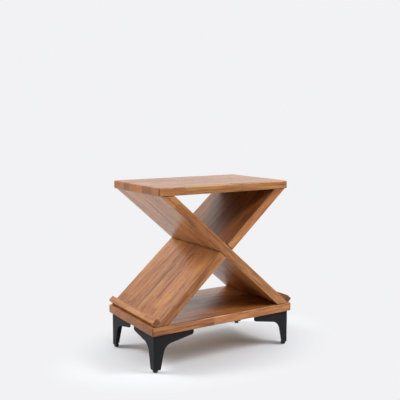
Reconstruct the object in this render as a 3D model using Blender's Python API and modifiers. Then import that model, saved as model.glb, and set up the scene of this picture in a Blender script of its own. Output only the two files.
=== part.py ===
"""Nightstand of oak boards: a top and a base held apart by crossed panels, on bent sheet-steel legs.

Metres, +Z up, -Y is the front. The origin is on the floor under the middle of the stand.
"""

import math

import bmesh
import bpy
from mathutils import Matrix, Vector

# Whole stand
HEIGHT = 0.600
DEPTH = 0.332  # of both boards
LEG_RISE = 0.125  # floor to the underside of the base board

# Boards
TOP_LENGTH = 0.515
TOP_THICKNESS = 0.028
BASE_LENGTH = 0.568
BASE_THICKNESS = 0.030
BOARD_EASE = 0.0045  # rounding of the boards' arrises

# Crossed panels
PANEL_THICKNESS = 0.032
PANEL_SETBACK = 0.0005  # the panels' front edges behind the boards'
TOP_INSET = 0.0095  # end of the top board to the panel's outer arris
BASE_INSET = 0.0105  # end of the base board to the panel's toe
PANEL_EASE = 0.0025

# Ledges that stop what leans on the panels from sliding off
LEDGE_WIDTH = 0.021
LEDGE_RISE = 0.0185
LEDGE_LIFT = 0.002  # up the slope from the panel's toe
LEDGE_EASE = 0.0015

# Dowels between the panels and the boards
DOWEL_RADIUS = 0.004
DOWEL_DEPTH = 0.018  # into each of the two pieces
DOWEL_INSET = 0.030  # panel's outer arris to the dowel's axis
DOWEL_END = 0.044  # panel's front or back to the dowel's axis
DOWEL_CHAMFER = 0.001

# Dowels that run through the long panel into both halves of the other
CROSS_DOWEL_RADIUS = 0.005
CROSS_DOWEL_DEPTH = 0.025  # into each half
CROSS_DOWEL_END = 0.060

# Dowels that hold the ledges
LEDGE_DOWEL_RADIUS = 0.003
LEDGE_DOWEL_UP = 0.0135  # ledge's lower face to the dowel's axis
LEDGE_DOWEL_IN_PANEL = 0.008
LEDGE_DOWEL_IN_LEDGE = 0.012
LEDGE_DOWEL_END = 0.080

# Countersunk screws from under the base board into the panels
BASE_SCREW_RADIUS = 0.0025
BASE_SCREW_HEAD = 0.005  # head's radius
BASE_SCREW_SINK = 0.001  # head's flat below the board's face
BASE_SCREW_BITE = 0.022  # into the panel
BASE_SCREW_INSET = 0.034  # panel's toe to the screw's axis
BASE_SCREW_END = 0.110

# Legs, each one sheet of steel bent to an angle
SHEET = 0.0025
BEND_INNER = 0.001  # inside radius of the bend
LEG_INSET = 0.009  # edges of the base board to the leg's outer faces
LEG_CLEAR = 0.0085  # floor to the leg's lower edge
FRONT_WING = 0.150  # along the base board's length
SIDE_WING_GAP = 0.027  # between the wings of a front and a rear leg
FOOT_WIDTH = 0.0245
KNEE_WIDTH = 0.0417  # where the taper of the shank would meet the wing's lower edge
KNEE_DROP = 0.037  # from the underside of the base board
KNEE_RADIUS = 0.034
WING_TIP = 0.017  # height of the wing at its end
TIP_RADIUS = 0.007

# Mounting plate welded into the top of each leg, and its screws
MOUNT_PLATE = 0.003
PLATE_REACH = 0.070
PLATE_LIP = 0.020  # plate's width at its two ends
PLATE_HOLE_INSET = 0.014  # leg's outer face to a hole's axis
PLATE_HOLE_END = 0.012  # plate's end to a hole's axis
LEG_SCREW_RADIUS = 0.0022
LEG_SCREW_BITE = 0.017  # into the base board
LEG_SCREW_HEAD = 0.0042  # head's radius
LEG_SCREW_HEAD_RISE = 0.0026
SCREW_TIP = 0.002  # length of a screw's point

# Foot plate and threaded bush in the bottom of each leg, with the levelling stud and its glide pad
FOOT_PLATE = 0.004
FOOT_PLATE_REACH = 0.0195  # all from the leg's outer faces
FOOT_PLATE_SIDE = 0.0075
FOOT_PLATE_NOSE = 0.0148
FOOT_INSET = 0.010  # leg's outer faces to the stud's axis
BUSH_WALL = 0.002
BUSH_HEIGHT = 0.0065
STUD_RADIUS = 0.004
STUD_LENGTH = 0.045
STUD_CHAMFER = 0.0008
KEY_WIDTH = 0.004  # hexagon socket in the stud's upper end, across the flats
KEY_DEPTH = 0.004
PAD_RADIUS = 0.0088
PAD_TOE_RADIUS = 0.0068  # where the pad meets the floor
PAD_BAND = 0.003  # straight band below the pad's rim
PAD_EASE = 0.0012
PAD_FLOOR = 0.0024  # thickness of the pad under the stud

# Clearances and the fineness of round shapes
SEAT = 0.0003  # between pieces that touch
OVERCUT = 0.005  # how far a cutter runs past what it cuts
WELD = 0.00001
EASE_STEPS = 3
ARC_STEP = math.radians(10)
PAD_STEPS = 24
STUD_STEPS = 16
FASTENER_STEPS = 12
HEXAGON = 6
SHARP = math.radians(30)

# Heights and places that follow from the sizes above
TOP_UNDERSIDE = HEIGHT - TOP_THICKNESS
BASE_TOP = LEG_RISE + BASE_THICKNESS
PANEL_DEPTH = DEPTH - 2 * PANEL_SETBACK
TOP_REACH = TOP_LENGTH / 2 - TOP_INSET
BASE_REACH = BASE_LENGTH / 2 - BASE_INSET
PANEL_RISE = TOP_UNDERSIDE - BASE_TOP
SLOPE = math.atan2(PANEL_RISE, TOP_REACH + BASE_REACH) + math.asin(
    PANEL_THICKNESS / math.hypot(PANEL_RISE, TOP_REACH + BASE_REACH)
)
HALF_PANEL = PANEL_THICKNESS / 2
CROSSING = TOP_UNDERSIDE - (TOP_REACH * math.sin(SLOPE) - HALF_PANEL) / math.cos(SLOPE)
LEG_TOP = LEG_RISE - SEAT
LEG_X = BASE_LENGTH / 2 - LEG_INSET
LEG_Y = DEPTH / 2 - LEG_INSET
SIDE_WING = LEG_Y - SIDE_WING_GAP / 2
INSIDE = SHEET + SEAT  # leg's outer face to a plate inside it
STANDING = Matrix.Rotation(math.pi / 2, 4, "X")  # takes an outline's Y to +Z
SIDE_ON = Matrix.Rotation(math.pi / 2, 4, "Z") @ STANDING  # and its X to +Y
CORNERS = {
    "front_left": (-1, -1),
    "front_right": (1, -1),
    "rear_left": (-1, 1),
    "rear_right": (1, 1),
}
ENDS = {"front": -1, "rear": 1}


def new_collection(name):
    collection = bpy.data.collections.new(name)
    bpy.context.scene.collection.children.link(collection)
    return collection


def new_material(name, colour, roughness, metallic):
    material = bpy.data.materials.new(name)
    material.use_nodes = True
    shader = material.node_tree.nodes["Principled BSDF"]
    shader.inputs["Base Color"].default_value = (*colour, 1)
    shader.inputs["Roughness"].default_value = roughness
    shader.inputs["Metallic"].default_value = metallic
    return material


def place(name, mesh, material):
    """A part of the stand; with no material it is a cutter."""
    solid = bpy.data.objects.new(name, mesh)
    if material is None:
        CUTTERS.objects.link(solid)
        solid.hide_render = True
        solid.display_type = "WIRE"
        return solid
    STAND.objects.link(solid)
    mesh.materials.append(material)
    return solid


def block(name, length, depth, height, material):
    mesh = bpy.data.meshes.new(name)
    form = bmesh.new()
    bmesh.ops.create_cube(form, size=1, matrix=Matrix.Diagonal((length, depth, height, 1)))
    form.to_mesh(mesh)
    form.free()
    return place(name, mesh, material)


def extruded(name, outline, thickness, material, turn=None):
    """A flat outline thickened evenly to both sides, then turned."""
    curve = bpy.data.curves.new(name, "CURVE")
    curve.dimensions = "2D"
    curve.fill_mode = "BOTH"
    curve.extrude = thickness / 2
    spline = curve.splines.new("POLY")
    spline.points.add(len(outline) - 1)
    for point, (x, y) in zip(spline.points, outline):
        point.co = (x, y, 0, 1)
    spline.use_cyclic_u = True
    flat = bpy.data.objects.new("outline", curve)
    bpy.context.scene.collection.objects.link(flat)
    graph = bpy.context.evaluated_depsgraph_get()
    mesh = bpy.data.meshes.new_from_object(flat.evaluated_get(graph))
    mesh.name = name
    bpy.data.objects.remove(flat)
    bpy.data.curves.remove(curve)
    form = bmesh.new()
    form.from_mesh(mesh)
    bmesh.ops.remove_doubles(form, verts=form.verts, dist=WELD)
    bmesh.ops.transform(form, matrix=turn or Matrix(), verts=form.verts)
    bmesh.ops.recalc_face_normals(form, faces=form.faces)
    form.to_mesh(mesh)
    form.free()
    return place(name, mesh, material)


def turned(name, profile, steps, material):
    """A shape turned about Z; its (radius, height) profile runs down its outer side."""
    mesh = bpy.data.meshes.new(name)
    points = [(radius, 0, height) for radius, height in profile]
    mesh.from_pydata(points, [(i, i + 1) for i in range(len(points) - 1)], [])
    solid = place(name, mesh, material)
    screw = solid.modifiers.new("Turn", "SCREW")
    screw.steps = steps
    screw.render_steps = steps
    screw.use_merge_vertices = True
    screw.merge_threshold = WELD
    return solid


def rounded(corners):
    """Outline through (x, y, radius) corners; a radius above 0 becomes an arc."""
    outline = []
    for i, (x, y, radius) in enumerate(corners):
        corner = Vector((x, y))
        if not radius:
            outline.append((x, y))
            continue
        before = (Vector(corners[i - 1][:2]) - corner).normalized()
        after = (Vector(corners[(i + 1) % len(corners)][:2]) - corner).normalized()
        half = before.angle(after) / 2
        centre = corner + (before + after).normalized() * radius / math.sin(half)
        start = corner + before * radius / math.tan(half) - centre
        sweep = start.angle_signed(corner + after * radius / math.tan(half) - centre)
        steps = max(2, math.ceil(abs(sweep) / ARC_STEP))
        for step in range(steps + 1):
            outline.append(tuple(centre + Matrix.Rotation(-sweep * step / steps, 2) @ start))
    return outline


def cut(solid, cutter, operation="DIFFERENCE"):
    boolean = solid.modifiers.new(cutter.name, "BOOLEAN")
    boolean.operation = operation
    boolean.object = cutter


def ease(solid, radius):
    """Round a solid's arrises."""
    form = bmesh.new()
    form.from_mesh(solid.data)
    weight = form.edges.layers.float.new("bevel_weight_edge")
    for edge in form.edges:
        edge[weight] = float(edge.calc_face_angle() > SHARP)
    form.to_mesh(solid.data)
    form.free()
    bevel = solid.modifiers.new("Ease", "BEVEL")
    bevel.limit_method = "WEIGHT"
    bevel.width = radius
    bevel.segments = EASE_STEPS


def point_along(solid, place_at, direction):
    solid.location = place_at
    solid.rotation_euler = direction.to_track_quat("Z", "Y").to_euler()


def board(name, length, depth, thickness, underside):
    solid = block(name, length, depth, thickness, OAK)
    solid.location.z = underside + thickness / 2
    ease(solid, BOARD_EASE)
    return solid


def falling_panel_end(height, offset):
    """Distance down the long panel at which its layer at this offset reaches a height."""
    return (CROSSING - height + offset * math.cos(SLOPE)) / math.sin(SLOPE)


def rising_panel_end(height, offset):
    """The same up the slope of the other panel."""
    return (height - CROSSING - offset * math.cos(SLOPE)) / math.sin(SLOPE)


def rising_panel_butt(side, offset):
    """Distance along the other panel at which it meets the upper (1) or lower (-1) face of the long one."""
    stop = side * (HALF_PANEL + SEAT)
    return (stop - offset * math.cos(2 * SLOPE)) / math.sin(2 * SLOPE)


def cross_panel(name, slope, starts, stops):
    """A panel on the slope; starts and stops give its ends for a layer's offset from the middle."""
    outline = [
        (starts(HALF_PANEL), HALF_PANEL),
        (stops(HALF_PANEL), HALF_PANEL),
        (stops(-HALF_PANEL), -HALF_PANEL),
        (starts(-HALF_PANEL), -HALF_PANEL),
    ]
    solid = extruded(name, outline, PANEL_DEPTH, OAK, STANDING)
    solid.location.z = CROSSING
    solid.rotation_euler.y = slope
    ease(solid, PANEL_EASE)
    return solid


def ledge(name, panel, side):
    """A strip on a panel's upper face, just above its toe."""
    solid = block(name, LEDGE_WIDTH, PANEL_DEPTH, LEDGE_RISE, OAK)
    toe = falling_panel_end(BASE_TOP, HALF_PANEL)
    solid.parent = panel
    solid.location.x = side * (toe - LEDGE_LIFT - LEDGE_WIDTH / 2)
    solid.location.z = HALF_PANEL + SEAT + LEDGE_RISE / 2
    ease(solid, LEDGE_EASE)
    return solid


def dowel(name, radius, upper, lower, holders, place_at, direction):
    """A chamfered dowel from one end to the other of its axis, with its hole in each holder."""
    profile = [
        (0, upper),
        (radius - DOWEL_CHAMFER, upper),
        (radius, upper - DOWEL_CHAMFER),
        (radius, DOWEL_CHAMFER - lower),
        (radius - DOWEL_CHAMFER, -lower),
        (0, -lower),
    ]
    pin = turned(name, profile, FASTENER_STEPS, BEECH)
    bore = radius + SEAT
    hole_profile = [(0, upper + SEAT), (bore, upper + SEAT), (bore, -lower - SEAT), (0, -lower - SEAT)]
    hole = turned(name + "_hole", hole_profile, FASTENER_STEPS, None)
    for solid in (pin, hole):
        point_along(solid, place_at, direction)
    for holder in holders:
        cut(holder, hole)


def board_dowels(name, board_solid, panel, x, face, side_of_board):
    """Two upright dowels between a board and the end of a panel."""
    for end, sign in ENDS.items():
        place_at = Vector((x, sign * (PANEL_DEPTH / 2 - DOWEL_END), face))
        up = Vector((0, 0, side_of_board))
        dowel(f"{name}_{end}", DOWEL_RADIUS, DOWEL_DEPTH, DOWEL_DEPTH, (board_solid, panel), place_at, up)


def cross_dowels(long_panel, halves):
    """Dowels through the crossing, in line with the panel that is in two halves."""
    reach = rising_panel_butt(1, 0) + CROSS_DOWEL_DEPTH
    up_slope = Vector((math.cos(SLOPE), 0, math.sin(SLOPE)))
    for end, sign in ENDS.items():
        place_at = Vector((0, sign * (PANEL_DEPTH / 2 - CROSS_DOWEL_END), CROSSING))
        holders = (long_panel, *halves)
        dowel(f"cross_dowel_{end}", CROSS_DOWEL_RADIUS, reach, reach, holders, place_at, up_slope)


def ledge_dowels(name, ledge_solid, panel, side):
    """Two dowels square to the panel, from its upper face into the ledge."""
    toe = falling_panel_end(BASE_TOP, HALF_PANEL)
    down = side * (toe - LEDGE_LIFT - LEDGE_DOWEL_UP)
    square = Vector((side * math.sin(SLOPE), 0, math.cos(SLOPE)))
    along = Vector((math.cos(SLOPE), 0, -side * math.sin(SLOPE)))
    for end, sign in ENDS.items():
        place_at = Vector((0, sign * (PANEL_DEPTH / 2 - LEDGE_DOWEL_END), CROSSING))
        place_at += along * down + square * HALF_PANEL
        dowel(
            f"{name}_{end}",
            LEDGE_DOWEL_RADIUS,
            LEDGE_DOWEL_IN_LEDGE,
            LEDGE_DOWEL_IN_PANEL,
            (ledge_solid, panel),
            place_at,
            square,
        )


def base_screw_profile(grow):
    """Point, shank and countersunk head, all larger by grow; the base board's underside is at 0."""
    tip = BASE_THICKNESS + BASE_SCREW_BITE + grow
    shank = BASE_SCREW_RADIUS + grow
    head = BASE_SCREW_HEAD + grow
    flat = BASE_SCREW_SINK - (OVERCUT if grow else 0)
    return [
        (0, tip),
        (shank, tip - SCREW_TIP),
        (shank, BASE_SCREW_SINK + head - shank),
        (head, BASE_SCREW_SINK),
        (head, flat - SEAT),
        (0, flat - SEAT),
    ]


def base_screws(name, base, panel, side):
    for end, sign in ENDS.items():
        x = side * (BASE_REACH - BASE_SCREW_INSET)
        place_at = (x, sign * (PANEL_DEPTH / 2 - BASE_SCREW_END), LEG_RISE)
        screw = turned(f"{name}_{end}", base_screw_profile(0), FASTENER_STEPS, ZINC)
        hole = turned(f"{name}_{end}_hole", base_screw_profile(SEAT), FASTENER_STEPS, None)
        screw.location = place_at
        hole.location = place_at
        cut(base, hole)
        cut(panel, hole)


def at_corner(outline, corner):
    """An outline drawn inwards from a leg's outer corner, moved to that corner of the stand."""
    side, end = corner
    return [(side * (LEG_X - x), end * (LEG_Y - y)) for x, y in outline]


def leg_profile(wing):
    """One face of a leg: a shank tapering to the foot, a curved knee and a wing under the board."""
    knee = LEG_TOP - KNEE_DROP
    taper = (KNEE_WIDTH - FOOT_WIDTH) / (knee - LEG_CLEAR)
    return rounded(
        [
            (-OVERCUT, LEG_CLEAR - OVERCUT, 0),
            (FOOT_WIDTH - OVERCUT * taper, LEG_CLEAR - OVERCUT, 0),
            (KNEE_WIDTH, knee, KNEE_RADIUS),
            (wing, LEG_TOP - WING_TIP, TIP_RADIUS),
            (wing, LEG_TOP + OVERCUT, 0),
            (-OVERCUT, LEG_TOP + OVERCUT, 0),
        ]
    )


def leg(name, corner):
    """A bent angle of sheet, cut to the leg's profile on both faces."""
    side, end = corner
    long = FRONT_WING + OVERCUT
    deep = SIDE_WING + OVERCUT
    section = rounded(
        [
            (long, 0, 0),
            (0, 0, BEND_INNER + SHEET),
            (0, deep, 0),
            (SHEET, deep, 0),
            (SHEET, SHEET, BEND_INNER),
            (long, SHEET, 0),
        ]
    )
    solid = extruded(name, at_corner(section, corner), LEG_TOP - LEG_CLEAR, STEEL)
    solid.location.z = (LEG_TOP + LEG_CLEAR) / 2
    front = [(side * (LEG_X - x), z) for x, z in leg_profile(FRONT_WING)]
    flank = [(end * (LEG_Y - y), z) for y, z in leg_profile(SIDE_WING)]
    front_form = extruded(name + "_front_form", front, 2 * DEPTH, None, STANDING)
    flank_form = extruded(name + "_flank_form", flank, 2 * BASE_LENGTH, None, SIDE_ON)
    cut(solid, front_form, "INTERSECT")
    cut(solid, flank_form, "INTERSECT")
    return solid


def mounting_plate(name, corner):
    """A cornered plate in the top of a leg, clear of the inside of the bend."""
    notch = INSIDE + BEND_INNER
    outline = [
        (notch, INSIDE),
        (PLATE_REACH, INSIDE),
        (PLATE_REACH, INSIDE + PLATE_LIP),
        (INSIDE + PLATE_LIP, PLATE_REACH),
        (INSIDE, PLATE_REACH),
        (INSIDE, notch),
    ]
    solid = extruded(name, at_corner(outline, corner), MOUNT_PLATE, STEEL)
    solid.location.z = LEG_TOP - MOUNT_PLATE / 2
    return solid


def leg_screw_profile(grow):
    """Point, shank and domed head, all larger by grow; the plate's lower face is at 0."""
    tip = MOUNT_PLATE + SEAT + LEG_SCREW_BITE + grow
    shank = LEG_SCREW_RADIUS + grow
    if grow:
        return [(0, tip), (shank, tip - SCREW_TIP), (shank, -OVERCUT), (0, -OVERCUT)]
    return [
        (0, tip),
        (shank, tip - SCREW_TIP),
        (shank, -SEAT),
        (LEG_SCREW_HEAD, -SEAT),
        (LEG_SCREW_HEAD, -LEG_SCREW_HEAD_RISE / 2),
        (LEG_SCREW_HEAD / 2, -LEG_SCREW_HEAD_RISE),
        (0, -LEG_SCREW_HEAD_RISE),
    ]


def leg_screws(name, corner, plate, base):
    far = PLATE_REACH - PLATE_HOLE_END
    near = PLATE_HOLE_INSET
    holes = at_corner([(near, near), (far, near), (near, far)], corner)
    for label, (x, y) in zip(("corner", "long", "short"), holes):
        place_at = (x, y, LEG_TOP - MOUNT_PLATE)
        screw = turned(f"{name}_{label}", leg_screw_profile(0), FASTENER_STEPS, ZINC)
        hole = turned(f"{name}_{label}_hole", leg_screw_profile(SEAT), FASTENER_STEPS, None)
        screw.location = place_at
        hole.location = place_at
        cut(plate, hole)
        cut(base, hole)


def rod(name, radius, top, bottom):
    """A plain round cutter about Z."""
    return turned(name, [(0, top), (radius, top), (radius, bottom), (0, bottom)], STUD_STEPS, None)


def hexagon(name, width, height):
    """A six-sided cutter about Z, by its width across the flats."""
    mesh = bpy.data.meshes.new(name)
    form = bmesh.new()
    radius = width / 2 / math.cos(math.pi / HEXAGON)
    bmesh.ops.create_cone(
        form, cap_ends=True, segments=HEXAGON, radius1=radius, radius2=radius, depth=height
    )
    form.to_mesh(mesh)
    form.free()
    return place(name, mesh, None)


def foot_plate(name, corner, foot):
    """A plate across the bottom of a leg with a bush welded on it, bored for the stud."""
    notch = INSIDE + BEND_INNER
    outline = [
        (notch, INSIDE),
        (FOOT_PLATE_REACH, INSIDE),
        (FOOT_PLATE_REACH, FOOT_PLATE_SIDE),
        (FOOT_PLATE_NOSE, FOOT_PLATE_NOSE),
        (FOOT_PLATE_SIDE, FOOT_PLATE_REACH),
        (INSIDE, FOOT_PLATE_REACH),
        (INSIDE, notch),
    ]
    solid = extruded(name, at_corner(outline, corner), FOOT_PLATE, STEEL)
    solid.location.z = LEG_CLEAR + FOOT_PLATE / 2
    bore = STUD_RADIUS + SEAT
    top = LEG_CLEAR + FOOT_PLATE + BUSH_HEIGHT
    root = LEG_CLEAR + FOOT_PLATE / 2
    bush = rod(name + "_bush", bore + BUSH_WALL, top, root)
    thread = rod(name + "_bore", bore, top + OVERCUT, LEG_CLEAR - OVERCUT)
    for form, operation in ((bush, "UNION"), (thread, "DIFFERENCE")):
        form.location = (*foot, 0)
        cut(solid, form, operation)
    return solid


def levelling_stud(name, foot):
    """A threaded stud with a hexagon socket in its upper end; it stands in the pad."""
    profile = [
        (0, STUD_LENGTH),
        (STUD_RADIUS - STUD_CHAMFER, STUD_LENGTH),
        (STUD_RADIUS, STUD_LENGTH - STUD_CHAMFER),
        (STUD_RADIUS, STUD_CHAMFER),
        (STUD_RADIUS - STUD_CHAMFER, 0),
        (0, 0),
    ]
    solid = turned(name, profile, STUD_STEPS, BLACK_OXIDE)
    solid.location = (*foot, PAD_FLOOR + SEAT)
    key = hexagon(name + "_key", KEY_WIDTH, 2 * KEY_DEPTH)
    key.location = (*foot, PAD_FLOOR + SEAT + STUD_LENGTH)
    cut(solid, key)
    return solid


def glide_pad(name, foot):
    """A round pad that narrows to the floor, with a socket for the stud."""
    rim = LEG_CLEAR - SEAT
    socket = STUD_RADIUS + SEAT
    profile = [
        (0, PAD_FLOOR),
        (socket, PAD_FLOOR),
        (socket, rim),
        (PAD_RADIUS - PAD_EASE / 2, rim),
        (PAD_RADIUS, rim - PAD_EASE / 2),
        (PAD_RADIUS, rim - PAD_BAND),
        (PAD_TOE_RADIUS, PAD_EASE),
        (PAD_TOE_RADIUS - PAD_EASE, 0),
        (0, 0),
    ]
    solid = turned(name, profile, PAD_STEPS, PLASTIC)
    solid.location = (*foot, 0)
    return solid


def build_boards_and_panels():
    top = board("top_board", TOP_LENGTH, DEPTH, TOP_THICKNESS, TOP_UNDERSIDE)
    base = board("base_board", BASE_LENGTH, DEPTH, BASE_THICKNESS, LEG_RISE)
    upper_limit = TOP_UNDERSIDE - SEAT
    lower_limit = BASE_TOP + SEAT
    long_panel = cross_panel(
        "long_cross_panel",
        SLOPE,
        lambda offset: falling_panel_end(upper_limit, offset),
        lambda offset: falling_panel_end(lower_limit, offset),
    )
    upper_panel = cross_panel(
        "upper_cross_panel",
        -SLOPE,
        lambda offset: rising_panel_butt(1, offset),
        lambda offset: rising_panel_end(upper_limit, offset),
    )
    lower_panel = cross_panel(
        "lower_cross_panel",
        -SLOPE,
        lambda offset: rising_panel_end(lower_limit, offset),
        lambda offset: rising_panel_butt(-1, offset),
    )
    right_ledge = ledge("right_ledge", long_panel, 1)
    left_ledge = ledge("left_ledge", lower_panel, -1)
    top_x = TOP_REACH - DOWEL_INSET
    base_x = BASE_REACH - DOWEL_INSET
    board_dowels("top_left_dowel", top, long_panel, -top_x, TOP_UNDERSIDE, 1)
    board_dowels("top_right_dowel", top, upper_panel, top_x, TOP_UNDERSIDE, 1)
    board_dowels("base_left_dowel", base, lower_panel, -base_x, BASE_TOP, -1)
    board_dowels("base_right_dowel", base, long_panel, base_x, BASE_TOP, -1)
    cross_dowels(long_panel, (upper_panel, lower_panel))
    ledge_dowels("right_ledge_dowel", right_ledge, long_panel, 1)
    ledge_dowels("left_ledge_dowel", left_ledge, lower_panel, -1)
    base_screws("base_right_screw", base, long_panel, 1)
    base_screws("base_left_screw", base, lower_panel, -1)
    return base


def build_legs(base):
    for name, corner in CORNERS.items():
        leg(f"{name}_leg", corner)
        plate = mounting_plate(f"{name}_mounting_plate", corner)
        leg_screws(f"{name}_leg_screw", corner, plate, base)
        foot = at_corner([(FOOT_INSET, FOOT_INSET)], corner)[0]
        foot_plate(f"{name}_foot_plate", corner, foot)
        levelling_stud(f"{name}_levelling_stud", foot)
        glide_pad(f"{name}_glide_pad", foot)


for old in list(bpy.data.objects):
    bpy.data.objects.remove(old)
STAND = new_collection("nightstand")
CUTTERS = new_collection("cutters")
OAK = new_material("oiled_oak", (0.42, 0.24, 0.12), 0.45, 0.0)
BEECH = new_material("beech", (0.55, 0.38, 0.22), 0.6, 0.0)
STEEL = new_material("black_powder_coat", (0.02, 0.02, 0.022), 0.5, 0.0)
ZINC = new_material("zinc_plated_steel", (0.6, 0.6, 0.58), 0.35, 1.0)
BLACK_OXIDE = new_material("black_oxide_steel", (0.03, 0.03, 0.03), 0.4, 1.0)
PLASTIC = new_material("black_plastic", (0.015, 0.015, 0.015), 0.5, 0.0)
build_legs(build_boards_and_panels())
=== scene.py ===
"""Looks of the oak nightstand: solid edge-glued boards, crossed panels and black bent-sheet legs."""

import math

import bmesh
import bpy
from mathutils import Matrix, Vector


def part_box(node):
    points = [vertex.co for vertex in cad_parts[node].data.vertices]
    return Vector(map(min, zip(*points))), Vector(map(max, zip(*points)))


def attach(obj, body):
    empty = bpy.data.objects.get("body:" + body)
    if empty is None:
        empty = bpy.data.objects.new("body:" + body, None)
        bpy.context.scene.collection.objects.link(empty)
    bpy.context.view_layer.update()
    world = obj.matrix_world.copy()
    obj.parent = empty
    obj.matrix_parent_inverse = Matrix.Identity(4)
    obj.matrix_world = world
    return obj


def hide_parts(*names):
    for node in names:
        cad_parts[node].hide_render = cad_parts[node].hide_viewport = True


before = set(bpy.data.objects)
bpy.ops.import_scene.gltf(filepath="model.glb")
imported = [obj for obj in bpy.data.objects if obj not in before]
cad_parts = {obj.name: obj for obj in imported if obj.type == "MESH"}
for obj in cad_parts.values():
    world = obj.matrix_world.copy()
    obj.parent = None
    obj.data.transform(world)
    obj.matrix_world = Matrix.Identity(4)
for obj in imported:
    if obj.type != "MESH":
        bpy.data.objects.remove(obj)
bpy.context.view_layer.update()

# Sizes of the pieces, in metres, where the frame's boxes don't give them
PANEL_THICKNESS = 0.032
TOP_INSET = 0.0095  # from the top board's end to the panel's outer arris
BASE_INSET = 0.0105  # from the base board's end to the panel's toe
BOARD_ARRIS = 0.0045  # rounding of the boards' arrises
PANEL_ARRIS = 0.0025
LEDGE_WIDTH = 0.021
LEDGE_RISE = 0.0185
LEDGE_ARRIS = 0.0015
FIT = 0.0003  # gap between pieces that touch
SHEET = 0.0025  # leg's steel
BEND = 0.0035  # outer radius of the leg's bend
FOOT_WIDTH = 0.0245
KNEE_WIDTH = 0.0417
KNEE_DROP = 0.037
KNEE_RADIUS = 0.034
TIP_DROP = 0.017
TIP_RADIUS = 0.007
SHEET_ARRIS = 0.0005
PAD_TOE = 0.0068  # radius of the pad on the floor
PAD_BAND = 0.003  # straight band below its rim
PAD_RIM_ARRIS = 0.0006
PAD_TOE_ARRIS = 0.0014
PAD_SOCKET = 0.0043  # radius of the hole for the stud
PAD_FLOOR = 0.0024  # thickness under the stud
STUD_PITCH = 0.00125
STUD_THREAD = 0.0007  # depth of the thread
KEY_WIDTH = 0.004  # hexagon socket in the stud, across the flats
KEY_DEPTH = 0.004
SCREW_PITCH = 0.0018
SCREW_THREAD = 0.0006
SCREW_POINT = 0.002
LEG_SCREW_SHANK = 0.0022  # radius over the thread
BASE_SCREW_SHANK = 0.0025
RECESS_LENGTH = 0.0046  # cross recess of a screw
RECESS_WIDTH = 0.0011
RECESS_DEPTH = 0.0014
PAN_HEAD = 0.0023  # height of a leg screw's head
PAN_ARRIS = 0.0013
COUNTERSUNK_HEAD = 0.0028  # height of a base screw's head
COUNTERSUNK_NECK = 0.0025
COUNTERSUNK_ARRIS = 0.0002

# How the pieces are worked
SAW_SPARE = 0.1  # length of a plank beyond its cuts
JOIN = 0.00001  # tolerance for points that are one, and overlap of joined forms
WELD = 0.0001  # points of a bent sheet nearer than this are one
FACING_UP = 0.9  # least Z of an upward face's normal
ROUND_STEPS = 5
BEND_STEPS = 8
KNEE_STEPS = 16
TIP_STEPS = 5
SHEET_ARRIS_STEPS = 2
ROUND_SIDES = 48
THREAD_SIDES = 20
HEXAGON = 6
QUARTER_TURN = math.pi / 2
SHARP = math.radians(35)
NEARLY_FLAT = math.radians(3.5)

# Oak colours, from pale to dark
PALE_OAK = (0.580, 0.280, 0.098, 1)
GOLDEN_OAK = (0.570, 0.275, 0.068, 1)
OAK = (0.450, 0.166, 0.040, 1)
BROWN_OAK = (0.302, 0.097, 0.024, 1)
DARK_OAK = (0.150, 0.046, 0.013, 1)
OAK_TONES = ((0.0, PALE_OAK), (0.40, OAK), (0.72, BROWN_OAK), (1.0, DARK_OAK))

# Tints that the oak's colour is multiplied by
WARM_STAVE = (1.06, 0.98, 0.90, 1)
COOL_STAVE = (0.96, 1.00, 1.04, 1)
UPPER_FACE_PAINTED_SHADE = (0.75, 0.74, 0.73, 1)  # painted shade that darkens the upward faces
UNDERSIDE_TINT = (0.85, 1.20, 2.00, 1)  # hardly oiled
CORNER_TINT = (0.42, 0.34, 0.28, 1)
GLUE_TINT = (0.50, 0.42, 0.36, 1)
# Painted contact shade along the seams where pieces meet
SEAM_PAINTED_SHADE = (0.36, 0.28, 0.22, 1)
MARK_TINT = (0.22, 0.14, 0.10, 1)
BOARD_END_TONE = 0.72
LEDGE_END_TONE = 0.26

# Sizes in the oak, in metres; a line has two half widths, where it starts to fade and where it ends
SHORTEST_STAVE = 0.20
STAVE_SPREAD = 0.22
RING_WIDTH = 0.0048
GLUE_LINE = (0.0001, 0.0005)
BUTT_LINE = (0.0001, 0.0006)
# The seam's band is painted contact shade
SEAM_SHADE_LINE = (0.0005, 0.0040)
GRAIN_RELIEF = 0.0004

# Noise in the oak, in cycles a metre along, across and through the grain
SWAY_SCALE = (2.2, 6, 6)
RIPPLE_SCALE = (9, 55, 55)
CLOUD_SCALE = (7, 42, 42)
STREAK_SCALE = (4, 125, 125)
GOLD_SCALE = (6, 160, 160)
FLECK_SCALE = (30, 290, 290)
FIBRE_SCALE = (16, 800, 800)
PORE_SCALE = (60, 2100, 2100)

# Draws for the staves
ROW_STRIDE = 1.37  # keeps the draws of neighbouring rows apart
STAVE_STRIDE = 2.31  # and those of neighbouring staves in a row
ROW_SHIFT = 9  # most staves that a row is shifted by
STAVE_SHIFT = (9, 9, 9)  # furthest that a stave is moved through the noise, in metres

# Dark marks in the wood: place, half width, how many times longer than wide, and strength
LEDGE_KNOT = (Vector((-0.2829, -0.0660, 0.1718)), 0.0027, 1, 0.85)
BASE_STREAK = (Vector((-0.1720, -0.1625, 0.1545)), 0.0045, 20, 0.60)

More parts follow.
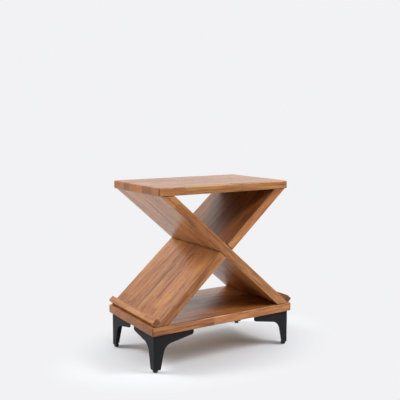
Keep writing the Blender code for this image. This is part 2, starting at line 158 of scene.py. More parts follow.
# Each piece's oak: glue lines as distances across the grain from its middle, its staves' seed and its tone
TOP_OAK = {"joints": (-0.1103, -0.0508, -0.0083, 0.0411, 0.0847), "seed": 1203.0, "tan": 0.36}
BASE_OAK = {
    "joints": (-0.0980, -0.0436, 0.0205, 0.0710, 0.1195),
    "seed": 712.0,
    "tan": 0.36,
    "marks": (BASE_STREAK,),
}
LONG_PANEL_OAK = {"joints": (-0.1180, -0.0655, -0.0120, 0.0470, 0.0985), "seed": 821.0, "tan": 0.36}
UPPER_PANEL_OAK = {"joints": (-0.1040, -0.0560, -0.0010, 0.0520, 0.1120), "seed": 931.0, "tan": 0.36}
LOWER_PANEL_OAK = {"joints": (-0.1150, -0.0700, -0.0230, 0.0350, 0.0890), "seed": 641.0, "tan": 0.40}
LEFT_LEDGE_OAK = {"joints": (), "seed": 51.0, "tan": 0.18, "marks": (LEDGE_KNOT,)}
RIGHT_LEDGE_OAK = {"joints": (), "seed": 57.0, "tan": 0.32}

# Colours of the other finishes
PALE_BEECH = (0.66, 0.45, 0.27, 1)
BROWN_BEECH = (0.48, 0.29, 0.15, 1)
LEG_BLACK = (0.0055, 0.0055, 0.0075)
PLATE_BLACK = (0.020, 0.020, 0.022)
THICK_COAT = 1.7  # how much paler powder coat is where it lies thick
STUD_BRIGHT = (0.035, 0.035, 0.037, 1)
STUD_DULL = (0.018, 0.018, 0.020, 1)
STUD_ROUGHNESS = 0.42
ZINC_BRIGHT = (0.72, 0.72, 0.70, 1)
ZINC_DULL = (0.52, 0.53, 0.54, 1)
ZINC_ROUGHNESS = 0.28
PAD_BLACK = (0.011, 0.011, 0.012, 1)
PAD_GREY = (0.024, 0.024, 0.025, 1)

# Studio
CAMERA_PLACE = (-1.23178, -1.94806, 0.80278)
CAMERA_TURN = (QUARTER_TURN - 0.11772, 0, -0.56325)
CAMERA_LENS = 58.98
BACKDROP = (0.888, 0.888, 0.905, 1)
MIRRORED_BEHIND = (-0.35, 0.45)  # gloss shows the backdrop behind the stand: Y of a ray, none and full
MIRRORED_LOW = (0.20, 0.45)  # and low down: Z of a ray, full and none
FLOOR_SIZE = 16
FLOOR = (0.820, 0.842, 0.875, 1)
FLOOR_OVAL = (0.66, 1, 1)  # the lit floor is an oval round the stand, longer along X
FLOOR_EDGE = (0.20, 0.40)  # its half depth, where the backdrop starts and where it takes over
NARROW = (0.940, 0.990)  # cosines of the angles where a panel starts and where it is at its full strength
WIDE = (0.766, 0.966)
SOFT_PANELS = (  # directions that the studio's soft panels are seen in, their spreads and their strengths
    ((0.579, -0.579, 0.574), NARROW, 4.8),  # front right
    ((0.0, -0.5, 0.866), NARROW, 2.9),  # front
    ((0.0, 0.819, 0.574), NARROW, 1.6),  # behind
    ((-0.579, 0.579, 0.574), NARROW, 3.0),  # behind left
    ((-0.743, 0.0, 0.669), WIDE, 0.83),  # left
    ((0.692, 0.692, 0.208), WIDE, 1.6),  # low, behind right
)
PANEL_PEAK = 6.0  # the most that the panels give together in one direction
SOFTBOXES = {  # places and powers of the small softboxes
    "front_right_softbox": (Vector((1.26, -1.05, 1.99)), 17.0),
    "right_softbox": (Vector((1.61, 0.0, 2.02)), 7.6),
    "rear_left_softbox": (Vector((-1.53, 0.88, 1.87)), 24.3),
}
SOFTBOX_SIZE = 0.66
SOFTBOX_AIM = Vector((0, 0, 0.1))

# Worked out from the frame
TOP_LOW, TOP_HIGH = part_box("top_board")
BASE_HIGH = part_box("base_board")[1]
LONG_LOW, LONG_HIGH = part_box("long_cross_panel")
PANEL_DEPTH = LONG_HIGH.y - LONG_LOW.y
HALF_PANEL = PANEL_THICKNESS / 2
TOP_REACH = TOP_HIGH.x - TOP_INSET
PANEL_RUN = TOP_REACH + BASE_HIGH.x - BASE_INSET
PANEL_RISE = TOP_LOW.z - BASE_HIGH.z
PANEL_SPAN = math.hypot(PANEL_RUN, PANEL_RISE)
SLOPE = math.atan2(PANEL_RISE, PANEL_RUN) + math.asin(PANEL_THICKNESS / PANEL_SPAN)
CROSSING = Vector((0, 0, TOP_LOW.z - (TOP_REACH * math.sin(SLOPE) - HALF_PANEL) / math.cos(SLOPE)))
FALLING = Vector((math.cos(SLOPE), 0, -math.sin(SLOPE)))  # down the long panel
LONG_FACE = Vector((math.sin(SLOPE), 0, math.cos(SLOPE)))  # square to its upper face
RISING = Vector((math.cos(SLOPE), 0, math.sin(SLOPE)))  # up the other panel
ALONG_LENGTH = Vector((1, 0, 0))
ALONG_DEPTH = Vector((0, 1, 0))
UPRIGHT = Vector((0, 0, 1))
CORNERS = {
    "front_left": (-1, -1),
    "front_right": (1, -1),
    "rear_left": (-1, 1),
    "rear_right": (1, 1),
}
LEG_SCREWS = sorted(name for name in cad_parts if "leg_screw" in name)
BASE_SCREWS = sorted(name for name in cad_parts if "screw" in name and name not in LEG_SCREWS)


class Wire:
    """One output of a node; maths on it adds Math nodes to its material."""

    def __init__(self, finish, socket):
        self.finish = finish
        self.socket = socket

    def output(self, name):
        """Another output of the same node."""
        return Wire(self.finish, self.socket.node.outputs[name])

    def maths(self, operation, *others):
        return self.finish.node("Math", {"operation": operation}, dict(enumerate((self, *others))))

    def __add__(self, other):
        return self.maths("ADD", other)

    def __radd__(self, other):
        return self.maths("ADD", other)

    def __sub__(self, other):
        return self.maths("SUBTRACT", other)

    def __rsub__(self, other):
        return self.finish.node("Math", {"operation": "SUBTRACT"}, {0: other, 1: self})

    def __mul__(self, other):
        return self.maths("MULTIPLY", other)

    def __rmul__(self, other):
        return self.maths("MULTIPLY", other)

    def __truediv__(self, other):
        return self.maths("DIVIDE", other)

    def __rtruediv__(self, other):
        return self.finish.node("Math", {"operation": "DIVIDE"}, {0: other, 1: self})

    def __gt__(self, other):
        return self.maths("GREATER_THAN", other)

    def __lt__(self, other):
        return self.maths("LESS_THAN", other)

    def __abs__(self):
        return self.maths("ABSOLUTE")

    def fade(self, start, end):
        """0 before start, 1 after end, and a smooth step between."""
        sockets = {"Value": self, "From Min": start, "From Max": end}
        return self.finish.node("MapRange", {"interpolation_type": "SMOOTHSTEP"}, sockets)


class Finish:
    """A node tree of a material or the world, built node by node."""

    def __init__(self, owner):
        owner.use_nodes = True
        self.owner = owner
        self.tree = owner.node_tree
        self.tree.nodes.clear()

    def node(self, kind, settings=None, sockets=None, output=0):
        """Add a node: settings first, then its sockets' values or links."""
        node = self.tree.nodes.new("ShaderNode" + kind)
        for name, value in (settings or {}).items():
            if name == "stops":
                ramp = node.color_ramp.elements
                while len(ramp) < len(value):
                    ramp.new(0)
                for stop, (position, colour) in zip(ramp, value):
                    stop.position = position
                    stop.color = colour
            else:
                setattr(node, name, value)
        for name, value in (sockets or {}).items():
            if isinstance(value, Wire):
                self.tree.links.new(value.socket, node.inputs[name])
            else:
                node.inputs[name].default_value = value
        return Wire(self, node.outputs[output]) if node.outputs else None

    def place(self):
        """The place on the piece."""
        return self.node("TexCoord", output="Object")

    def mix(self, amount, first, second, blend="MIX"):
        """Mix of two colours."""
        settings = {"data_type": "RGBA", "blend_type": blend}
        return self.node("Mix", settings, {0: amount, 6: first, 7: second}, output=2)

    def stretch(self, place, scale):
        return self.node("VectorMath", {"operation": "MULTIPLY"}, {0: place, 1: scale})

    def length(self, vector):
        return self.node("VectorMath", {"operation": "LENGTH"}, {0: vector}, output="Value")

    def dot(self, vector, direction):
        sockets = {0: vector, 1: direction}
        return self.node("VectorMath", {"operation": "DOT_PRODUCT"}, sockets, output="Value")

    def split(self, vector):
        parts = self.node("SeparateXYZ", None, {0: vector})
        return parts, parts.output("Y"), parts.output("Z")

    def noise(self, place, scale, detail=2.0, roughness=0.5):
        """Noise in a place stretched by its own scale along each axis."""
        sockets = {"Vector": self.stretch(place, scale), "Scale": 1.0}
        sockets.update({"Detail": detail, "Roughness": roughness})
        return self.node("TexNoise", None, sockets)

    def draw(self, row, place):
        """Three numbers from 0 to 1, drawn anew for each row and place."""
        vector = self.node("CombineXYZ", None, {0: row, 1: place})
        return self.node("TexWhiteNoise", {"noise_dimensions": "2D"}, {"Vector": vector}, output="Color")

    def bump(self, strength, relief, height):
        return self.node("Bump", None, {"Strength": strength, "Distance": relief, "Height": height})

    def material(self, sockets):
        """Close a material with its shader, and give it back."""
        surface = self.node("BsdfPrincipled", None, sockets)
        self.node("OutputMaterial", None, {"Surface": surface})
        return self.owner


def glued_staves(finish, along, aside, joints, seed):
    """Three numbers of each stave's own, and the glue lines round the staves."""
    row = seed
    glue = 0.0
    for joint in joints:
        row = row + (aside > joint)
        glue = glue + (1 - abs(aside - joint).fade(*GLUE_LINE))
    start, length, _ = finish.split(finish.draw(row * ROW_STRIDE, 0.5))
    stave_length = SHORTEST_STAVE + length * STAVE_SPREAD
    count = along / stave_length + start * ROW_SHIFT
    butt = (0.5 - abs(count.maths("FRACT") - 0.5)) * stave_length
    glue = glue + (1 - butt.fade(*BUTT_LINE)) * 0.8
    return finish.draw(row * ROW_STRIDE, count.maths("FLOOR") * STAVE_STRIDE), glue


def oiled_oak(name, grain, across, middle, joints, seed, tan, end_tone=BOARD_END_TONE, shaded_seams=(), marks=()):
    """Short oak staves glued side by side and end to end, each with its own rings, streaks and tone.

    The seams are planes where the piece meets another; the wood beside them is darkened as painted contact
    shade.
    The marks are small dark knots and streaks along the grain.
    """
    finish = Finish(bpy.data.materials.new(name))
    spot = finish.place()
    through = grain.cross(across)
    turn = Matrix((grain, across, through)).transposed().to_euler()
    sockets = {"Vector": spot, "Location": middle, "Rotation": turn}
    wood = finish.node("Mapping", {"vector_type": "TEXTURE"}, sockets)
    along, aside, deep = finish.split(wood)
    stave, glue = glued_staves(finish, along, aside, joints, seed)
    tone, lean, heart = finish.split(stave)
    own_wood = finish.node("VectorMath", {"operation": "MULTIPLY_ADD"}, {0: stave, 1: STAVE_SHIFT, 2: wood})

    facing = finish.node("TexCoord", output="Normal")
    square_on = abs(finish.dot(facing, grain))
    end_grain = square_on.fade(0.55, 0.95)
    corner = square_on.fade(0.25, 0.6) * abs(finish.dot(facing, across)).fade(0.25, 0.6)
    # Upward faces are darkened as painted shade
    painted_upper_shade = finish.dot(facing, UPRIGHT).fade(0.6, 1.0)
    underside = finish.dot(facing, -UPRIGHT).fade(0.9, 1.0)

    sway = finish.noise(own_wood, SWAY_SCALE) - 0.5
    ripple = finish.noise(own_wood, RIPPLE_SCALE) - 0.5
    sideways = aside + (lean - 0.5) * 0.36
    depth = deep + heart * 0.09 + 0.03
    radius = (sideways * sideways + depth * depth).maths("SQRT") + sway * 0.045 + ripple * 0.0045
    early = 1 - (radius / RING_WIDTH).maths("FRACT").fade(0.05, 0.6)

    cloud = finish.noise(own_wood, CLOUD_SCALE, 2) - 0.5
    streak = finish.noise(own_wood, STREAK_SCALE, 3, 0.6) - 0.5
    gold = finish.noise(own_wood, GOLD_SCALE, 2, 0.6).fade(0.56, 0.72)
    fleck = finish.noise(own_wood, FLECK_SCALE, 3, 0.6).fade(0.55, 0.65)
    fibre = finish.noise(own_wood, FIBRE_SCALE, 3, 0.6) - 0.5
    pore = finish.noise(own_wood, PORE_SCALE, 1).fade(0.58, 0.66) * (early * 0.8 + 0.2)

    figure = cloud * 1.40 + streak * 1.75 + fleck * 0.32
    depth_of_tone = tan + figure * (1 - end_grain * 0.75) + (tone - 0.5) * (end_grain * 0.3 + 0.24)
    depth_of_tone = depth_of_tone + early * (end_grain * 0.2 + 0.12) + fibre * 0.50 + pore * 0.45
    colour = finish.node("ValToRGB", {"stops": OAK_TONES}, {"Fac": depth_of_tone})
    colour = finish.mix(gold * 0.60, colour, GOLDEN_OAK)

    tints = [
        (1.0, finish.mix(heart, WARM_STAVE, COOL_STAVE)),
        (painted_upper_shade, UPPER_FACE_PAINTED_SHADE),
        (underside, UNDERSIDE_TINT),
        (end_grain * 0.8, (end_tone, end_tone * 0.95, end_tone * 0.92, 1)),
        (corner * 0.9, CORNER_TINT),
        (glue * 0.45, GLUE_TINT),
    ]
    # Painted contact shade beside each seam
    for point, outward in shaded_seams:
        near = 1 - abs(finish.dot(spot, outward) - point.dot(outward)).fade(*SEAM_SHADE_LINE)
        tints.append((near * 0.75, SEAM_PAINTED_SHADE))
    for place, width, longer, strength in marks:
        away = place - middle
        home = (away.dot(grain), away.dot(across), away.dot(through))
        reach = finish.node("VectorMath", {"operation": "SUBTRACT"}, {0: wood, 1: home})
        distance = finish.length(finish.stretch(reach, (1 / longer, 1, 1)))
        near = 1 - (distance + ripple * 0.002).fade(width * 0.45, width * 1.55)
        tints.append((near * strength, MARK_TINT))
    for amount, tint in tints:
        colour = finish.mix(amount, colour, tint, "MULTIPLY")

    height = fibre * 0.5 - pore - early * 0.25 - fleck * 0.3 - glue * 0.6
    gloss = 0.30 + streak * 0.40 + pore * 0.2 + end_grain * 0.16
    bump = finish.bump(0.25, GRAIN_RELIEF, height)
    return finish.material({"Base Color": colour, "Roughness": gloss, "Normal": bump, "IOR": 1.5})


def turned_beech(name):
    """Pale dowel wood with a fine straight grain."""
    finish = Finish(bpy.data.materials.new(name))
    fleck = finish.noise(finish.place(), (900, 900, 160), 3) - 0.5
    stops = ((0.25, PALE_BEECH), (0.75, BROWN_BEECH))
    colour = finish.node("ValToRGB", {"stops": stops}, {"Fac": fleck + 0.5})
    bump = finish.bump(0.2, 0.0002, fleck)
    return finish.material({"Base Color": colour, "Roughness": 0.6 + fleck * 0.2, "Normal": bump})


def powder_coat(name, black):
    """Fine orange-peel powder coat over steel, a little paler where it lies thick."""
    finish = Finish(bpy.data.materials.new(name))
    spot = finish.place()
    peel = finish.noise(spot, (900, 900, 900), 2) - 0.5
    cloud = finish.noise(spot, (14, 14, 14), 3) - 0.5
    paler = tuple(channel * THICK_COAT for channel in black)
    colour = finish.mix((cloud * 1.6 + peel * 0.6 + 0.5).fade(0, 1), (*black, 1), (*paler, 1))
    roughness = 0.70 + cloud * 0.12 + peel * 0.1
    bump = finish.bump(0.25, 0.0003, peel)
    return finish.material({"Base Color": colour, "Roughness": roughness, "Normal": bump, "IOR": 1.39})


def plated_steel(name, bright, dull, roughness):
    """Plated or blackened steel with a clouded lustre and fine scratches."""
    finish = Finish(bpy.data.materials.new(name))
    spot = finish.place()
    cloud = finish.noise(spot, (260, 260, 260), 3)
    scratch = finish.noise(spot, (2400, 2400, 300), 2) - 0.5
    colour = finish.mix(cloud.fade(0.3, 0.7), bright, dull)
    gloss = cloud * 0.15 + scratch * 0.1 + roughness
    bump = finish.bump(0.15, 0.0001, scratch)
    return finish.material({"Base Color": colour, "Metallic": 1.0, "Roughness": gloss, "Normal": bump})


def moulded_plastic(name):
    """Fine-grained black moulding."""
    finish = Finish(bpy.data.materials.new(name))
    spark = finish.noise(finish.place(), (1700, 1700, 1700), 2) - 0.5
    colour = finish.mix(spark + 0.5, PAD_BLACK, PAD_GREY)
    bump = finish.bump(0.3, 0.0002, spark)
    return finish.material({"Base Color": colour, "Roughness": 0.5 + spark * 0.15, "Normal": bump})


def select_alone(piece):
    bpy.ops.object.select_all(action="DESELECT")
    bpy.context.view_layer.objects.active = piece
    piece.select_set(True)


def edit(piece):
    """Go into edit mode on one piece alone, with nothing in it selected."""
    select_alone(piece)
    bpy.ops.object.mode_set(mode="EDIT")
    bpy.ops.mesh.select_all(action="DESELECT")


def edit_all(piece):
    """Go into edit mode on one piece alone, with all of it selected."""
    edit(piece)
    bpy.ops.mesh.select_all(action="SELECT")


def leave_edit():
    bpy.ops.object.mode_set(mode="OBJECT")


def pick(piece, kind, wanted):
    """In edit mode, select only the vertices, edges or faces that are wanted."""
    bpy.ops.mesh.select_mode(type={"verts": "VERT", "edges": "EDGE", "faces": "FACE"}[kind])
    bpy.ops.mesh.select_all(action="DESELECT")
    form = bmesh.from_edit_mesh(piece.data)
    for element in getattr(form, kind):
        if wanted(element):
            element.select_set(True)
    bmesh.update_edit_mesh(piece.data)


def settle(name):
    """Name the form that was just added, and put its place into its mesh."""
    piece = bpy.context.object
    piece.name = name
    bpy.ops.object.transform_apply(location=True, rotation=True, scale=True)
    return piece


def plank(name, size, middle, slope=0.0):
    """A square-edged plank at its size and place."""
    bpy.ops.object.select_all(action="DESELECT")
    bpy.ops.mesh.primitive_cube_add(size=1, location=middle, rotation=(0, slope, 0), scale=size)
    return settle(name)


def turned_blank(name, lower, upper, low, high, middle):
    """A round form about an upright axis, from its lower to its upper radius."""
    bpy.ops.object.select_all(action="DESELECT")
    bpy.ops.mesh.primitive_cone_add(
        vertices=ROUND_SIDES,
        radius1=lower,
        radius2=upper,
        depth=high - low,
        location=(middle.x, middle.y, (low + high) / 2),
    )
    return settle(name)


def saw(piece, point, outward):
    """Cut off what lies beyond a plane, and close the cut."""
    edit_all(piece)
    bpy.ops.mesh.bisect(plane_co=point, plane_no=outward, use_fill=True, clear_outer=True)
    leave_edit()


def face_outwards(piece):
    edit_all(piece)
    bpy.ops.mesh.normals_make_consistent(inside=False)
    leave_edit()


def round_arrises(piece, radius):
    edit(piece)
    bpy.ops.mesh.select_mode(type="EDGE")
    bpy.ops.mesh.select_all(action="SELECT")
    bpy.ops.mesh.bevel(offset=radius, segments=ROUND_STEPS, affect="EDGES")
    leave_edit()


def round_rim(piece, height, radius):
    """Round the edges of a turned piece at one height."""
    edit(piece)
    pick(piece, "edges", lambda edge: all(abs(vert.co.z - height) < JOIN for vert in edge.verts))
    bpy.ops.mesh.bevel(offset=radius, segments=ROUND_STEPS, affect="EDGES")
    leave_edit()


def apply_modifier(piece, kind, **settings):
    select_alone(piece)
    modifier = piece.modifiers.new(kind, kind)
    for name, value in settings.items():
        setattr(modifier, name, value)
    bpy.ops.object.modifier_apply(modifier=modifier.name)


def carve(piece, cutter):
    """Cut a form out of a piece, and take the form away."""
    apply_modifier(piece, "BOOLEAN", operation="DIFFERENCE", solver="EXACT", object=cutter)
    bpy.data.objects.remove(cutter)


def smooth(piece):
    """Smooth shading that keeps the broad faces flat."""
    select_alone(piece)
    bpy.ops.object.shade_smooth_by_angle(angle=SHARP)
    apply_modifier(piece, "WEIGHTED_NORMAL", keep_sharp=True)


def bring(piece, place):
    """Move a piece by a distance, and put the move into its mesh."""
    select_alone(piece)
    piece.location = place
    bpy.ops.object.transform_apply(location=True, rotation=False, scale=False)


def copied(piece, name):
    """A copy of a piece with its own mesh."""
    copy = piece.copy()
    copy.data = piece.data.copy()
    copy.name = name
    bpy.context.collection.objects.link(copy)
    return copy


def mirrored(piece, name, corner):
    """A copy of a front left piece, mirrored to another corner."""
    copy = copied(piece, name)
    select_alone(copy)
    side, end = corner
    copy.scale = (-side, -end, 1)
    bpy.ops.object.transform_apply(location=False, rotation=False, scale=True)
    face_outwards(copy)
    return copy


def fit(piece, material, slot_name, body, *nodes):
    """Give a piece its finish and its body, and hide the solids that it stands for."""
    piece.data.materials.clear()
    piece.data.materials.append(material)
    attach(piece, body)
    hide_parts(*nodes)


def repeat(first, nodes, material, slot_name):
    """Fit copies of a piece, made at the first of its nodes, on all of them."""
    home = None
    for node, body in nodes.items():
        low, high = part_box(node)
        home = home or (low + high) / 2
        piece = copied(first, "made_" + node)
        bring(piece, (low + high) / 2 - home)
        smooth(piece)
        fit(piece, material, slot_name, body, node)
    bpy.data.objects.remove(first)


def countersink(board, screw, underside):
    """A hole for a screw's head in the underside of a board."""
    low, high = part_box(screw)
    axis = (low + high) / 2
    head = (high.x - low.x) / 2 + FIT
    neck = COUNTERSUNK_NECK + FIT
    shoulder = low.z + FIT
    carve(board, turned_blank("bore", head, head, underside - head, shoulder, axis))
    carve(board, turned_blank("sink", head, neck, shoulder - JOIN, shoulder + head - neck, axis))


def lay_board(node, oak, screws=()):
    """A board of staves with rounded arrises and holes for the screws from below."""
    low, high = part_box(node)
    middle = (low + high) / 2
    piece = plank("oak_" + node, high - low, middle)
    round_arrises(piece, BOARD_ARRIS)
    for screw in screws:
        countersink(piece, screw, low.z)
    smooth(piece)
    finish = oiled_oak("oak_of_" + node, ALONG_LENGTH, ALONG_DEPTH, middle, **oak)
    fit(piece, finish, "oak", "frame", node)


def sloping_panel(node, slope, grain, cuts, oak):
    """A panel sawn off by planes where it meets the boards or the other panel."""
    piece = plank("oak_" + node, (PANEL_SPAN + SAW_SPARE, PANEL_DEPTH, PANEL_THICKNESS), CROSSING, slope)
    for point, outward in cuts:
        saw(piece, point, outward)
    round_arrises(piece, PANEL_ARRIS)
    smooth(piece)
    finish = oiled_oak("oak_of_" + node, grain, ALONG_DEPTH, CROSSING, shaded_seams=cuts, **oak)
    fit(piece, finish, "oak", "frame", node)


def set_up_panels():
    """The long panel, and the other one in two halves that butt on it."""
    under_top = (Vector((0, 0, LONG_HIGH.z)), UPRIGHT)
    on_base = (Vector((0, 0, LONG_LOW.z)), -UPRIGHT)
    on_long_panel = (CROSSING + LONG_FACE * (HALF_PANEL + FIT), -LONG_FACE)
    under_long_panel = (CROSSING - LONG_FACE * (HALF_PANEL + FIT), LONG_FACE)
    sloping_panel("long_cross_panel", SLOPE, FALLING, (under_top, on_base), LONG_PANEL_OAK)
    sloping_panel("upper_cross_panel", -SLOPE, RISING, (under_top, on_long_panel), UPPER_PANEL_OAK)
    sloping_panel("lower_cross_panel", -SLOPE, RISING, (on_base, under_long_panel), LOWER_PANEL_OAK)


def lay_ledge(node, slope, uphill, oak):
    """A strip along a panel, just above its toe."""
    low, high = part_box(node)
    middle = (low + high) / 2
    piece = plank("oak_" + node, (LEDGE_WIDTH, high.y - low.y, LEDGE_RISE), middle, slope)
    round_arrises(piece, LEDGE_ARRIS)
    smooth(piece)
    finish = oiled_oak("oak_of_" + node, ALONG_DEPTH, uphill, middle, end_tone=LEDGE_END_TONE, **oak)
    fit(piece, finish, "oak", "frame", node)


def right_of(start, end):
    """Direction in the XZ plane that is square to a line, on its right."""
    return Vector((end.z - start.z, 0, start.x - end.x)).normalized()


def leg_face(name, reach, foot, top):
    """One face of a leg, from its bend along X: a tapering shank, a curved knee and a wing."""
    toe = Vector((FOOT_WIDTH, 0, foot))
    knee = Vector((KNEE_WIDTH, 0, top - KNEE_DROP))
    tip = Vector((reach, 0, top - TIP_DROP))
    bpy.ops.object.select_all(action="DESELECT")
    bpy.ops.mesh.primitive_plane_add(
        size=1,
        location=((BEND + reach) / 2, 0, (foot + top) / 2),
        rotation=(QUARTER_TURN, 0, 0),
    )
    bpy.context.object.scale = (reach - BEND, top - foot, 1)
    face = settle(name)
    notch_sides = (right_of(toe, knee), right_of(knee, tip))
    edit(face)
    for side in notch_sides:
        bpy.ops.mesh.select_all(action="SELECT")
        bpy.ops.mesh.bisect(plane_co=knee, plane_no=side)
    pick(
        face,
        "faces",
        lambda part: all((part.calc_center_median() - knee).dot(side) > 0 for side in notch_sides),
    )
    bpy.ops.mesh.delete(type="FACE")
    bpy.ops.mesh.select_all(action="SELECT")
    bpy.ops.mesh.dissolve_limited(angle_limit=NEARLY_FLAT)
    pick(face, "verts", lambda vert: abs(vert.co.x - BEND) < JOIN and foot + JOIN < vert.co.z < top - JOIN)
    bpy.ops.mesh.dissolve_verts()
    knee_cut = KNEE_RADIUS * math.tan((knee - toe).angle(tip - knee) / 2)
    for corner, cut, steps in ((knee, knee_cut, KNEE_STEPS), (tip, TIP_RADIUS, TIP_STEPS)):
        pick(face, "verts", lambda vert: (vert.co - corner).length < SHEET)
        bpy.ops.mesh.bevel(offset=cut, segments=steps, affect="VERTICES")
    leave_edit()
    return face


def bend_leg(piece, axis):
    """Join the two faces by the bend and thicken them to the sheet."""

    def at_bend(vert):
        return abs(vert.co.x - axis.x) < JOIN and vert.co.y < axis.y - JOIN

    edit(piece)
    pick(piece, "edges", lambda edge: all(at_bend(vert) for vert in edge.verts))
    bpy.ops.mesh.spin(steps=BEND_STEPS, angle=QUARTER_TURN, center=axis, axis=UPRIGHT)
    bpy.ops.mesh.select_all(action="SELECT")
    bpy.ops.mesh.remove_doubles(threshold=WELD)
    bpy.ops.mesh.normals_make_consistent(inside=False)
    form = bmesh.from_edit_mesh(piece.data)
    front = max(form.faces, key=lambda face: abs(face.normal.y) * face.calc_area())
    if front.normal.y > 0:
        bpy.ops.mesh.flip_normals()
    leave_edit()
    apply_modifier(piece, "SOLIDIFY", thickness=SHEET, offset=-1, use_even_offset=True)
    rounding = {"width": SHEET_ARRIS, "segments": SHEET_ARRIS_STEPS}
    apply_modifier(piece, "BEVEL", limit_method="ANGLE", angle_limit=SHARP, **rounding)


def bent_leg():
    """The front left leg: two cut faces of sheet joined by the bend, then given the sheet's thickness."""
    low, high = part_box("front_left_leg")
    piece = leg_face("bent_leg_front_left", high.x - low.x, low.z, high.z)
    flank = leg_face("flank", high.y - low.y, low.z, high.z)
    flank.rotation_euler.z = QUARTER_TURN
    bpy.ops.object.select_all(action="DESELECT")
    for face in (flank, piece):
        face.location = (low.x, low.y, 0)
        face.select_set(True)
    bpy.context.view_layer.objects.active = piece
    bpy.ops.object.transform_apply(location=True, rotation=True, scale=True)
    bpy.ops.object.join()
    bend_leg(piece, Vector((low.x + BEND, low.y + BEND, 0)))
    return piece


def stand_legs():
    """The front left leg, and its mirror images at the other corners."""
    first = bent_leg()
    finish = powder_coat("black_powder_coated_leg", LEG_BLACK)
    pieces = {"front_left": first}
    for corner, signs in CORNERS.items():
        if corner not in pieces:
            pieces[corner] = mirrored(first, "bent_leg_" + corner, signs)
    for corner, piece in pieces.items():
        smooth(piece)
        fit(piece, finish, "black_powder_coat", "frame", corner + "_leg")


def glide_pad(name, node):
    """A round pad that narrows to the floor, with a socket for the stud."""
    low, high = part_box(node)
    middle = (low + high) / 2
    radius = (high.x - low.x) / 2
    piece = turned_blank(name, radius, radius, low.z, high.z, middle)
    edit_all(piece)
    bpy.ops.mesh.bisect(plane_co=(0, 0, high.z - PAD_BAND), plane_no=UPRIGHT)
    pick(piece, "verts", lambda vert: vert.co.z < low.z + JOIN)
    bpy.ops.transform.resize(value=(PAD_TOE / radius, PAD_TOE / radius, 1), center_override=middle)
    leave_edit()
    round_rim(piece, high.z, PAD_RIM_ARRIS)
    round_rim(piece, low.z, PAD_TOE_ARRIS)
    edit(piece)
    pick(piece, "faces", lambda face: face.normal.z > FACING_UP and len(face.verts) == ROUND_SIDES)
    bpy.ops.mesh.inset(thickness=radius - PAD_RIM_ARRIS - PAD_SOCKET)
    depth = high.z - low.z - PAD_FLOOR
    bpy.ops.mesh.extrude_region_move(TRANSFORM_OT_translate={"value": (0, 0, -depth)})
    leave_edit()
    face_outwards(piece)
    return piece


def threaded_rod(name, radius, thread, pitch, low, high):
    """A rod about the world's Z with a V thread along it, cut off square at both ends."""
    root = radius - thread
    bpy.ops.object.select_all(action="DESELECT")
    bpy.ops.mesh.primitive_plane_add(
        size=pitch,
        location=(root - pitch / 2, 0, low - pitch),
        rotation=(QUARTER_TURN, 0, 0),
    )
    piece = settle(name)
    edit(piece)
    pick(piece, "edges", lambda edge: any(vert.co.x < root - JOIN for vert in edge.verts))
    bpy.ops.mesh.delete(type="EDGE")
    bpy.ops.mesh.select_all(action="SELECT")
    bpy.ops.mesh.subdivide(number_cuts=1)
    pick(piece, "verts", lambda vert: len(vert.link_edges) == 2)
    bpy.ops.transform.translate(value=(thread, 0, 0))
    leave_edit()
    turns = math.ceil((high - low) / pitch) + 2
    steps = {"steps": THREAD_SIDES, "render_steps": THREAD_SIDES}
    apply_modifier(piece, "SCREW", axis="Z", screw_offset=pitch, iterations=turns, **steps)
    edit_all(piece)
    bpy.ops.mesh.remove_doubles(threshold=JOIN)
    leave_edit()
    saw(piece, Vector((0, 0, low)), -UPRIGHT)
    saw(piece, Vector((0, 0, high)), UPRIGHT)
    face_outwards(piece)
    return piece


def levelling_stud(name, node):
    """A threaded stud with a hexagon socket in its upper end."""
    low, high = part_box(node)
    middle = (low + high) / 2
    piece = threaded_rod(name, (high.x - low.x) / 2, STUD_THREAD, STUD_PITCH, low.z, high.z)
    bpy.ops.object.select_all(action="DESELECT")
    bpy.ops.mesh.primitive_cylinder_add(
        vertices=HEXAGON,
        radius=KEY_WIDTH / 2 / math.cos(math.pi / HEXAGON),
        depth=2 * KEY_DEPTH,
        location=(0, 0, high.z),
    )
    carve(piece, bpy.context.object)
    bring(piece, (middle.x, middle.y, 0))
    return piece


def fit_feet():
    """A pad on each foot's slide, and a stud on its turn."""
    pads = {corner + "_glide_pad": corner + "_pad" for corner in CORNERS}
    studs = {corner + "_levelling_stud": corner + "_stud" for corner in CORNERS}
    pad = glide_pad("pad", "front_left_glide_pad")
    stud = levelling_stud("stud", "front_left_levelling_stud")
    black = plated_steel("blackened_steel", STUD_BRIGHT, STUD_DULL, STUD_ROUGHNESS)
    repeat(pad, pads, moulded_plastic("black_moulded_pad"), "black_plastic")
    repeat(stud, studs, black, "black_oxide_steel")


def wood_screw(name, node, shank, head_rise, neck, arris):
    """A screw standing on its head: a cross recess below, a threaded shank and a point."""
    low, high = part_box(node)
    middle = (low + high) / 2
    axis = Vector((0, 0, 0))
    head_top = low.z + head_rise
    thread_end = high.z - SCREW_POINT
    head = turned_blank(name, (high.x - low.x) / 2, neck, low.z, head_top, axis)
    round_rim(head, low.z, arris)
    for slot in ((RECESS_LENGTH, RECESS_WIDTH), (RECESS_WIDTH, RECESS_LENGTH)):
        carve(head, plank("recess", (*slot, 2 * RECESS_DEPTH), (0, 0, low.z)))
    thread = threaded_rod(name + "_thread", shank, SCREW_THREAD, SCREW_PITCH, head_top - JOIN, thread_end)
    point = turned_blank(name + "_point", shank - SCREW_THREAD, 0, thread_end - JOIN, high.z, axis)
    bpy.ops.object.select_all(action="DESELECT")
    for piece in (point, thread, head):
        piece.select_set(True)
    bpy.context.view_layer.objects.active = head
    bpy.ops.object.join()
    bring(head, (middle.x, middle.y, 0))
    return head


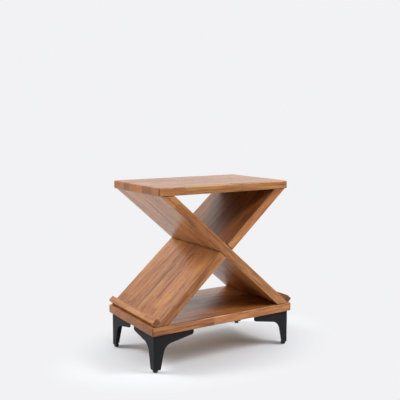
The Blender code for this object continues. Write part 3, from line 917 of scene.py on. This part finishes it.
def drive_screws():
    """Pan-headed screws in the legs' plates, and countersunk ones under the base board."""
    zinc = plated_steel("bright_zinc", ZINC_BRIGHT, ZINC_DULL, ZINC_ROUGHNESS)
    low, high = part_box(LEG_SCREWS[0])
    head = (high.x - low.x) / 2
    pan = wood_screw("pan_screw", LEG_SCREWS[0], LEG_SCREW_SHANK, PAN_HEAD, head, PAN_ARRIS)
    sunk = wood_screw(
        "sunk_screw",
        BASE_SCREWS[0],
        BASE_SCREW_SHANK,
        COUNTERSUNK_HEAD,
        COUNTERSUNK_NECK,
        COUNTERSUNK_ARRIS,
    )
    repeat(pan, dict.fromkeys(LEG_SCREWS, "frame"), zinc, "zinc_plated_steel")
    repeat(sunk, dict.fromkeys(BASE_SCREWS, "frame"), zinc, "zinc_plated_steel")


def dress_remaining_nodes():
    """Finishes for the solids that keep their own shape."""
    finishes = {
        "dowel": turned_beech("turned_beech"),
        "plate": powder_coat("black_powder_coated_plate", PLATE_BLACK),
    }
    for name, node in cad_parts.items():
        for word, finish in finishes.items():
            if word in name:
                node.material_slots[0].material = finish


def softbox(name, place, power):
    light = bpy.data.lights.new(name, "AREA")
    light.size = SOFTBOX_SIZE
    light.energy = power
    holder = bpy.data.objects.new(name, light)
    holder.location = place
    holder.rotation_euler = (SOFTBOX_AIM - place).to_track_quat("-Z", "Y").to_euler()
    bpy.context.scene.collection.objects.link(holder)


def seen_directly(finish, mirrored_share):
    """1 for camera and glass rays, a share for mirror rays, 0 for the light that falls on the object."""
    path = finish.node("LightPath", output="Is Camera Ray")
    seen = path.maths("MAXIMUM", path.output("Is Glossy Ray") * mirrored_share)
    return seen.maths("MAXIMUM", path.output("Is Transmission Ray"))


def light_world():
    """A pale backdrop all round as seen; soft panels round the object as a light."""
    world = bpy.data.worlds.new("pale_studio")
    bpy.context.scene.world = world
    finish = Finish(world)
    ray = finish.node("TexCoord", output="Generated")
    behind = finish.dot(ray, ALONG_DEPTH).fade(*MIRRORED_BEHIND)
    low = 1 - finish.dot(ray, UPRIGHT).fade(*MIRRORED_LOW)
    glow = 0.0
    for direction, spread, strength in SOFT_PANELS:
        glow = glow + finish.dot(ray, direction).fade(*spread) * (strength / PANEL_PEAK)
    tint = finish.mix(glow, (0, 0, 0, 1), (PANEL_PEAK, PANEL_PEAK, PANEL_PEAK, 1))
    filling = finish.node("Background", None, {"Color": tint, "Strength": 1.0})
    shown = finish.node("Background", None, {"Color": BACKDROP, "Strength": 1.0})
    surface = finish.node("MixShader", None, {0: seen_directly(finish, behind * low), 1: filling, 2: shown})
    finish.node("OutputWorld", None, {"Surface": surface})


def lay_floor():
    """A floor that keeps the stand's shadow, and shows the backdrop's colour further out."""
    bpy.ops.object.select_all(action="DESELECT")
    bpy.ops.mesh.primitive_plane_add(size=FLOOR_SIZE)
    floor = bpy.context.object
    floor.name = "studio_floor"
    finish = Finish(bpy.data.materials.new("pale_floor"))
    distance = finish.length(finish.stretch(finish.place(), FLOOR_OVAL))
    matt = finish.node("BsdfDiffuse", None, {"Color": FLOOR})
    glow = finish.node("Emission", None, {"Color": BACKDROP, "Strength": 1.0})
    amount = distance.fade(*FLOOR_EDGE) * seen_directly(finish, 1.0)
    surface = finish.node("MixShader", None, {0: amount, 1: matt, 2: glow})
    finish.node("OutputMaterial", None, {"Surface": surface})
    floor.data.materials.append(finish.owner)


def set_camera():
    camera = bpy.data.cameras.new("photo_angle")
    camera.lens = CAMERA_LENS
    holder = bpy.data.objects.new("photo_angle", camera)
    holder.location = CAMERA_PLACE
    holder.rotation_euler = CAMERA_TURN
    bpy.context.scene.collection.objects.link(holder)
    bpy.context.scene.camera = holder


def set_up_studio():
    bpy.context.scene.view_settings.view_transform = "Standard"
    light_world()
    lay_floor()
    for name, (place, power) in SOFTBOXES.items():
        softbox(name, place, power)
    set_camera()


lay_board("top_board", TOP_OAK)
lay_board("base_board", BASE_OAK, BASE_SCREWS)
set_up_panels()
lay_ledge("left_ledge", -SLOPE, RISING, LEFT_LEDGE_OAK)
lay_ledge("right_ledge", SLOPE, FALLING, RIGHT_LEDGE_OAK)
stand_legs()
fit_feet()
drive_screws()
dress_remaining_nodes()
set_up_studio()
